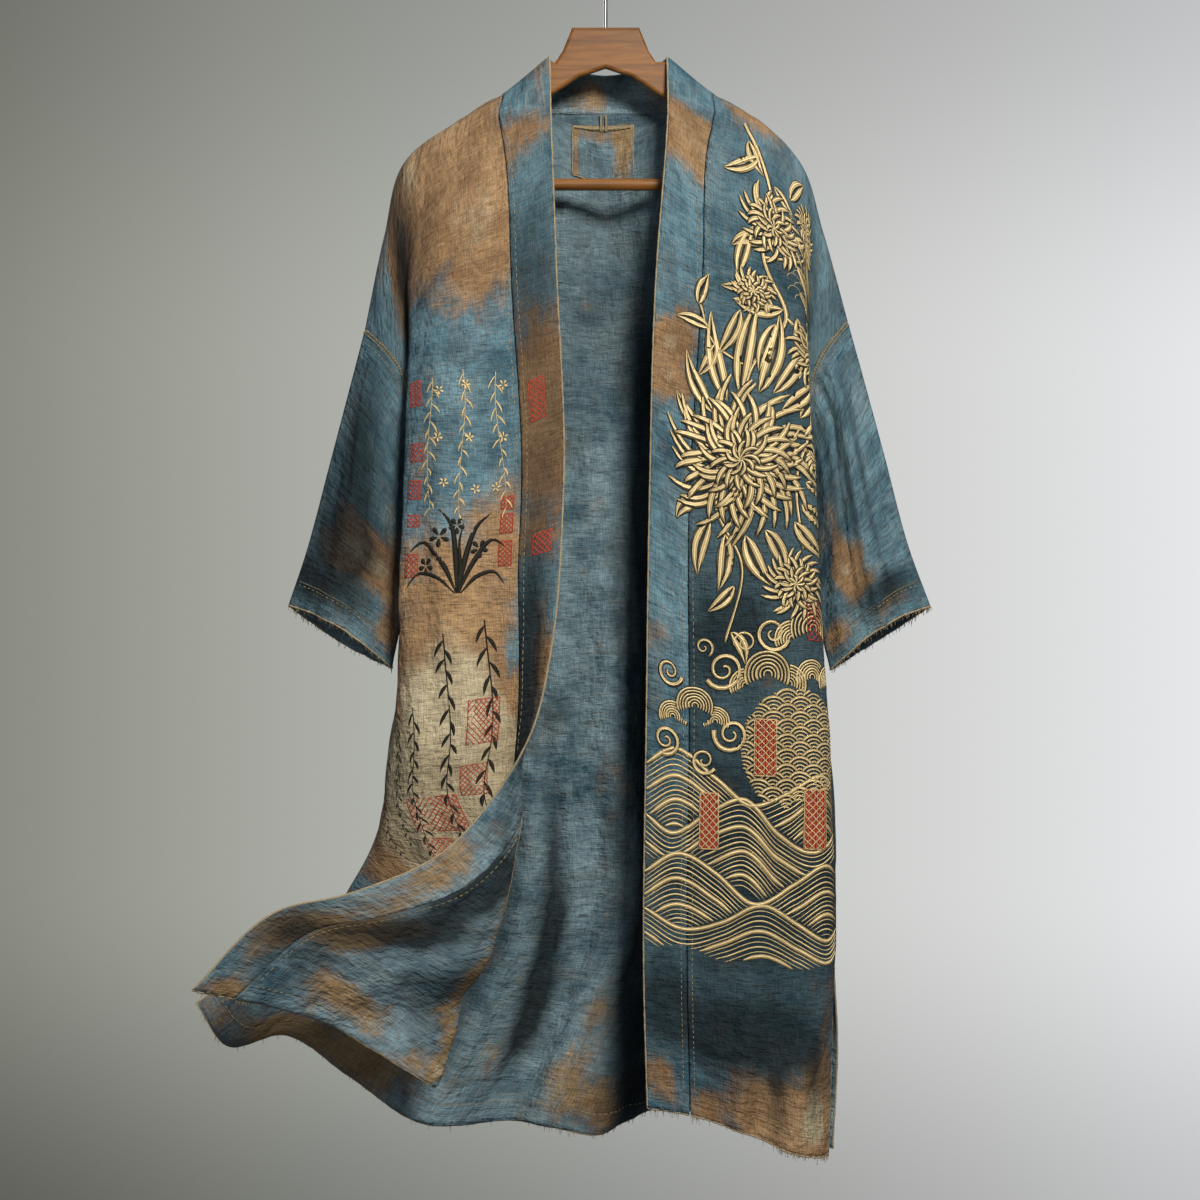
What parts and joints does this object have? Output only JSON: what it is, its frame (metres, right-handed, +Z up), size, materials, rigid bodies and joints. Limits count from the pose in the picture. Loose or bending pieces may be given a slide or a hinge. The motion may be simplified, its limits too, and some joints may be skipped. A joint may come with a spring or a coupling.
{
  "type": "long kimono on a wooden hanger",
  "caption": "Long open-fronted kimono with wide half sleeves and side slits, hung on a wooden hanger, one front blown back over itself",
  "frame": {"origin": "inside top of the hook, where a rail or peg bears", "axes": "+Z up, the open front faces -Y, the wearer's left side at +X"},
  "size_m": [0.827, 0.351, 1.3674],
  "materials": {
    "robe_cloth": "heavy slubbed linen, dyed indigo and tan, gold embroidery, frayed seams",
    "band_cloth": "folded linen band, indigo with tan patches, light bound edge",
    "wood": "satin lacquered beech",
    "steel": "bright drawn wire"
  },
  "bodies": {
    "root": {"front_right": "robe_cloth", "front_left": "robe_cloth", "back": "robe_cloth", "sleeve_right": "robe_cloth", "sleeve_left": "robe_cloth", "collar_right": "band_cloth", "collar_back": "band_cloth", "collar_left": "band_cloth", "neck_patch": "robe_cloth", "hanger_wood": "wood", "hanger_bar": "wood", "hanger_hook": "steel"}
  },
  "joints": []
}
